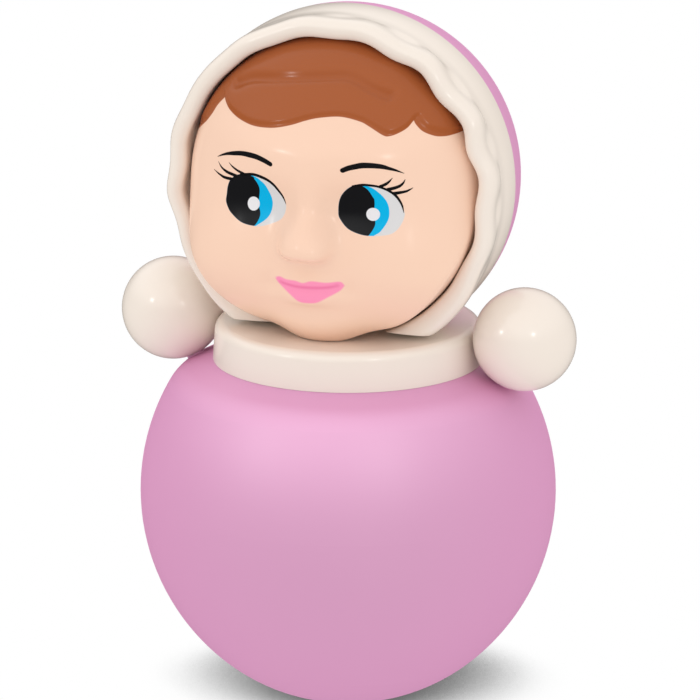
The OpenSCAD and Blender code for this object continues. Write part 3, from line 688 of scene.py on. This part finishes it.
skin_prints_and_shade = moulded_plastic("skin_prints_and_shade", SKIN, SKIN_DEEP, gloss=(0.18, 0.22), skin=0.06, specular=0.12)
skin_tree = skin_prints_and_shade.node_tree
shown = skin_tree.nodes["Group"].outputs["Colour"]
# Name, colour and half the softness of the edge of each print, and of the painted shade where the lips
# meet, from the lowest up
for name, colour, edge in (
    ("hair", HAIR, 0.08),
    ("eye", EYE_WHITE, 0.06),
    ("iris", IRIS, 0.06),
    ("pupil", INK, 0.06),
    ("glint", GLINT, 0.06),
    ("lips", LIPS, 0.25),
    # Painted shade: a darker pink band where the lips meet, under the upper lip
    ("painted_lip_shade", LIP_SHADE, 0.5),
):
    shown = layer_print_and_shade(skin_tree, shown, name, colour, edge)
skin_tree.links.new(shown, skin_tree.nodes["Principled BSDF"].inputs["Base Color"])

face_mask = piece("painted_face", face, skin_prints_and_shade)
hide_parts("face_mask")

places = np.empty(len(face_mask.data.vertices) * 3)
face_mask.data.vertices.foreach_get("co", places)
places = (places.reshape(-1, 3) - np.array(HEAD_AT)) / MM
face_x, face_z = places[:, 0], places[:, 2]
facing = np.empty(len(face_mask.data.vertices) * 3)
face_mask.data.vertices.foreach_get("normal", facing)
outwards = np.sum(facing.reshape(-1, 3) * places, axis=1) > 0
behind = np.where(outwards & (places[:, 1] < -LEDGE + PRINT_BACK), 0.0, FAR_OFF)
eye_white, iris, pupil = (
    np.min([outline_distance(face_x, face_z, flowing(ring, closed=True)) for ring in pair], axis=0)
    for pair in (EYES, IRISES, PUPILS)
)
glint = np.min([
    (np.hypot((face_x - x) / wide, (face_z - z) / tall) - 1) * wide for x, z, wide, tall in GLINTS
], axis=0)
keep_print_and_shade_outline(face_mask.data, "hair", outline_distance(face_x, face_z, hair_outline) + behind)
keep_print_and_shade_outline(face_mask.data, "eye", eye_white + behind)
keep_print_and_shade_outline(face_mask.data, "iris", np.maximum(iris, eye_white) + behind)
keep_print_and_shade_outline(face_mask.data, "pupil", np.maximum(pupil, eye_white) + behind)
keep_print_and_shade_outline(face_mask.data, "glint", glint + behind)
keep_print_and_shade_outline(face_mask.data, "lips", outline_distance(face_x, face_z, lip_outline) + behind)
# Painted shade under the upper lip: a soft darker pink band along the line where the lips meet
painted_lip_shade = line_distance(face_x, face_z, flowing(LIPS_MEET)) - LIP_SHADE_HALF
keep_print_and_shade_outline(face_mask.data, "painted_lip_shade", painted_lip_shade + behind)


# Brows, lids and lashes: strokes of thick black ink printed on the face, each thinning
# out to a point.
INK_DEEP = (12, 12, 14)
STROKE_SUNK, STROKE_PROUD = 0.10, 0.05
STROKE_LANES, STROKE_FINE = 5, 6
STROKE_CAP = np.radians((4, 15, 30, 45, 60, 75))
RAY_FROM, RAY_WAY = Vector((0, -0.1, 0)), Vector((0, 1, 0))
# Strokes as x, z and width
BROW_LEFT = [
    (-11.6, 11.6, 1.45), (-13.7, 12.4, 1.55), (-16.4, 13.1, 1.6), (-19.3, 13.3, 1.6), (-22.2, 13.2, 1.4),
    (-25.2, 12.6, 1.25), (-27.8, 11.9, 0.85), (-30, 11, 0.5), (-31.9, 10, 0.1),
]
BROW_RIGHT = [
    (11.6, 11.6, 1.5), (13.2, 12.3, 1.6), (15.1, 12.8, 1.7), (17.1, 13.2, 1.75), (19.3, 13.2, 1.65),
    (21.4, 13, 1.5), (23.1, 12.7, 1.3), (24.9, 12.1, 0.95), (26.6, 11.5, 0.65), (28.9, 10.4, 0.1),
]
EYE_LINES_LEFT = [
    [(-22.5, 6.4, 0.8), (-18.9, 7.1, 0.9), (-17.2, 7.1, 0.95), (-15.3, 6.7, 1.05), (-13.1, 5.9, 1),
     (-11.3, 4.5, 0.9), (-9.9, 2.7, 0.8), (-8.6, 0.9, 0.6), (-7.5, -1.3, 0.1)],
    [(-26.2, 4.3, 1), (-28.9, 4.3, 0.9), (-31.2, 4.9, 0.55), (-33.3, 5.7, 0.08)],
    [(-24.2, 5.6, 1.05), (-26, 5.9, 1), (-28.1, 6.3, 0.9), (-30.1, 7.2, 0.55), (-31.5, 8.6, 0.08)],
    [(-21, 6.6, 1), (-23.5, 7.4, 0.8), (-25.5, 8.3, 0.55), (-27.1, 9.4, 0.08)],
]
EYE_LINES_RIGHT = [
    [(14.2, 6.3, 0.8), (17, 6.9, 0.8), (19.3, 6.8, 0.75), (21.3, 6.5, 0.7), (23.3, 5.8, 0.7),
     (25.1, 4.8, 0.75), (26.6, 3.5, 0.75), (27.7, 1.9, 0.65), (28.5, 0.2, 0.5), (29, -1.8, 0.1)],
    [(22.1, 6.4, 0.9), (23.8, 7.2, 0.9), (24.9, 8.1, 0.6), (25.8, 9.2, 0.08)],
    [(24.4, 5.5, 1), (26.4, 6, 1), (27.8, 6.6, 0.85), (28.7, 7.5, 0.55), (29.2, 8.6, 0.08)],
    [(26.1, 4.2, 1.05), (28, 4.5, 0.9), (29.5, 4.8, 0.7), (30.5, 5.3, 0.45), (31.3, 5.8, 0.08)],
]

ink = moulded_plastic("black_ink", INK, INK_DEEP, gloss=(0.3, 0.38), skin=0.05, specular=0.15)
face_tree = BVHTree.FromPolygons(
    [vert.co for vert in face_mask.data.vertices], [part.vertices for part in face_mask.data.polygons]
)


def rounded_start(line):
    """Add a round end in front of a stroke's first point, where it is widest."""
    step = line[0, :2] - line[1, :2]
    step = step / np.linalg.norm(step)
    wide = line[0, 2]
    cap = [(*(line[0, :2] + step * wide / 2 * math.cos(a)), wide * math.sin(a)) for a in STROKE_CAP]
    return np.vstack([cap, line])


def ink_strokes(name, strokes):
    """Lay strokes of ink on the face: a thin strip each, half sunk into the surface."""
    strips = bmesh.new()
    proud = {}
    for stroke in strokes:
        path = flowing([row[:2] for row in stroke], fine=STROKE_FINE)
        along = np.arange(len(path)) / STROKE_FINE
        widths = np.interp(along, np.arange(len(stroke)), [row[2] for row in stroke])
        line = rounded_start(np.column_stack([path, widths]))
        heading = np.gradient(line[:, :2], axis=0)
        heading /= np.linalg.norm(heading, axis=1)[:, None]
        before = None
        for (x, z, wide), (run_x, run_z) in zip(line, heading):
            row = []
            for share in np.linspace(-0.5, 0.5, STROKE_LANES):
                spot = Vector((x - run_z * wide * share, 0, z + run_x * wide * share)) * MM
                hit, normal = face_tree.ray_cast(HEAD_AT + spot + RAY_FROM, RAY_WAY)[:2]
                vert = strips.verts.new(hit - normal * STROKE_SUNK * MM)
                proud[tuple(vert.co)] = normal * (STROKE_SUNK + STROKE_PROUD) * MM
                row.append(vert)
            if before:
                for i in range(STROKE_LANES - 1):
                    strips.faces.new((before[i], before[i + 1], row[i + 1], row[i]))
            before = row
    grown = bmesh.ops.extrude_face_region(strips, geom=strips.faces[:], use_keep_orig=True)["geom"]
    for part in grown:
        if isinstance(part, bmesh.types.BMVert):
            part.co += proud[tuple(part.co)]
    bmesh.ops.recalc_face_normals(strips, faces=strips.faces[:])
    return piece(name, strips, ink)


ink_strokes("brow_ink_left", [BROW_LEFT])
ink_strokes("brow_ink_right", [BROW_RIGHT])
ink_strokes("eye_ink_left", EYE_LINES_LEFT)
ink_strokes("eye_ink_right", EYE_LINES_RIGHT)


# Studio: a plain white floor that takes the toy's soft shadow, even light from all round,
# a brighter upper front and two small lamps that only gloss shows, and the camera.
CAMERA_TURN, CAMERA_RISE = math.radians(19.14), math.radians(15.39)
CAMERA_AWAY = 3.84
PIXELS_PER_M = 3251.6
IMAGE = 700
SENSOR = 36.0
FAR_CLIP = 50
CENTRE_AT = Vector((0, 0, 0.10215))
CENTRE_PIXEL = (348.2, 375.8)
# Even light, and what gloss shows: its brightest direction, its level there, its soft horizon
ROOM_LIGHT = 1.06
ROOM_FRONT = (-0.335, -0.615, 0.714)
ROOM_GLOSS = 2.7
ROOM_SOFT = 0.6
# Direction, distance, diameter and power
LAMPS = {
    "lamp_left": ((-0.552, -0.732, 0.400), 0.9, 0.06, 0.7),
    "lamp_right": ((0.604, -0.680, 0.418), 1.2, 0.08, 1.2),
}
LAMPS_AIM = Vector((0, 0, 0.11))

right = Vector((math.cos(CAMERA_TURN), math.sin(CAMERA_TURN), 0))
towards = Vector((
    math.sin(CAMERA_TURN) * math.cos(CAMERA_RISE),
    -math.cos(CAMERA_TURN) * math.cos(CAMERA_RISE),
    math.sin(CAMERA_RISE),
))
above = towards.cross(right)
offset = right * (IMAGE / 2 - CENTRE_PIXEL[0]) + above * (CENTRE_PIXEL[1] - IMAGE / 2)
aim = CENTRE_AT + offset / PIXELS_PER_M
lens = bpy.data.cameras.new("camera")
lens.sensor_width = SENSOR
lens.lens = PIXELS_PER_M * SENSOR * CAMERA_AWAY / IMAGE
lens.clip_end = FAR_CLIP
camera = bpy.data.objects.new("camera", lens)
bpy.context.scene.collection.objects.link(camera)
camera.matrix_world = Matrix((
    (right.x, above.x, towards.x, 0),
    (right.y, above.y, towards.y, 0),
    (right.z, above.z, towards.z, 0),
    (0, 0, 0, 1),
))
camera.location = aim + towards * CAMERA_AWAY
bpy.context.scene.camera = camera

for name, (direction, away, size, power) in LAMPS.items():
    lamp = bpy.data.lights.new(name, "AREA")
    lamp.shape = "DISK"
    lamp.size = size
    lamp.energy = power
    holder = bpy.data.objects.new(name, lamp)
    holder.visible_diffuse = False
    bpy.context.scene.collection.objects.link(holder)
    holder.location = LAMPS_AIM + Vector(direction).normalized() * away
    holder.rotation_euler = (LAMPS_AIM - holder.location).to_track_quat("-Z", "Y").to_euler()

world = bpy.data.worlds.new("studio")
bpy.context.scene.world = world
world.use_nodes = True
make, link = world.node_tree.nodes.new, world.node_tree.links.new
sky = world.node_tree.nodes["Background"]
sky.inputs["Color"].default_value = (1, 1, 1, 1)
heading, frontal = make("ShaderNodeTexCoord"), make("ShaderNodeVectorMath")
frontal.operation = "DOT_PRODUCT"
frontal.inputs[1].default_value = ROOM_FRONT
link(heading.outputs["Generated"], frontal.inputs[0])
gloss = make("ShaderNodeMapRange")
gloss.inputs["From Min"].default_value = -1
link(frontal.outputs["Value"], gloss.inputs["Value"])
parts, rise = make("ShaderNodeSeparateXYZ"), make("ShaderNodeMapRange")
rise.interpolation_type = "SMOOTHSTEP"
rise.inputs["From Max"].default_value = ROOM_SOFT
rise.inputs["To Max"].default_value = ROOM_GLOSS
link(heading.outputs["Generated"], parts.inputs["Vector"])
link(parts.outputs["Z"], rise.inputs["Value"])
link(rise.outputs["Result"], gloss.inputs["To Max"])
ray, mirrored, seen = make("ShaderNodeLightPath"), make("ShaderNodeMapRange"), make("ShaderNodeMapRange")
mirrored.inputs["To Min"].default_value = ROOM_LIGHT
link(ray.outputs["Is Glossy Ray"], mirrored.inputs["Value"])
link(gloss.outputs["Result"], mirrored.inputs["To Max"])
seen.inputs["To Max"].default_value = 1.0
link(ray.outputs["Is Camera Ray"], seen.inputs["Value"])
link(mirrored.outputs["Result"], seen.inputs["To Min"])
link(seen.outputs["Result"], sky.inputs["Strength"])

# Light that the floor gives to the toy, and the darker floor that gloss shows
FLOOR_SIZE = 8.0
FLOOR_GLOW = 1.03
FLOOR_GLOSS = 0.05
# Shadow on the floor: how far it reaches, the way it leans, and its start, end and darkest level
SHADE_REACH = 0.042
SHADE_LEAN = (0.17, -0.78, 0.60)
SHADE_FROM, SHADE_TO, SHADE_LEAST = 0.36, 0.78, 0.15
floor_mesh = bmesh.new()
bmesh.ops.create_grid(floor_mesh, x_segments=1, y_segments=1, size=FLOOR_SIZE / 2)
floor_data = bpy.data.meshes.new("floor")
floor_mesh.to_mesh(floor_data)
floor_mesh.free()
floor = bpy.data.objects.new("floor", floor_data)
bpy.context.scene.collection.objects.link(floor)
floor_white = bpy.data.materials.new("floor_white")
floor_white.use_nodes = True
floor_nodes = floor_white.node_tree
floor_nodes.nodes.clear()
make, link = floor_nodes.nodes.new, floor_nodes.links.new
glow, out = make("ShaderNodeEmission"), make("ShaderNodeOutputMaterial")
lean, shade = make("ShaderNodeCombineXYZ"), make("ShaderNodeAmbientOcclusion")
for socket, share in zip(lean.inputs, SHADE_LEAN):
    socket.default_value = share
shade.inputs["Distance"].default_value = SHADE_REACH
link(lean.outputs["Vector"], shade.inputs["Normal"])
shadow = make("ShaderNodeMapRange")
shadow.interpolation_type = "SMOOTHSTEP"
shadow.inputs["From Min"].default_value = SHADE_FROM
shadow.inputs["From Max"].default_value = SHADE_TO
shadow.inputs["To Min"].default_value = SHADE_LEAST
link(shade.outputs["AO"], shadow.inputs["Value"])
level = make("ShaderNodeMapRange")
ray, mirrored = make("ShaderNodeLightPath"), make("ShaderNodeMapRange")
mirrored.inputs["To Min"].default_value = FLOOR_GLOW
mirrored.inputs["To Max"].default_value = FLOOR_GLOSS
link(ray.outputs["Is Glossy Ray"], mirrored.inputs["Value"])
link(ray.outputs["Is Camera Ray"], level.inputs["Value"])
link(mirrored.outputs["Result"], level.inputs["To Min"])
link(shadow.outputs["Result"], level.inputs["To Max"])
link(level.outputs["Result"], glow.inputs["Strength"])
link(glow.outputs["Emission"], out.inputs["Surface"])
floor_data.materials.append(floor_white)

bpy.context.scene.view_settings.view_transform = "Standard"
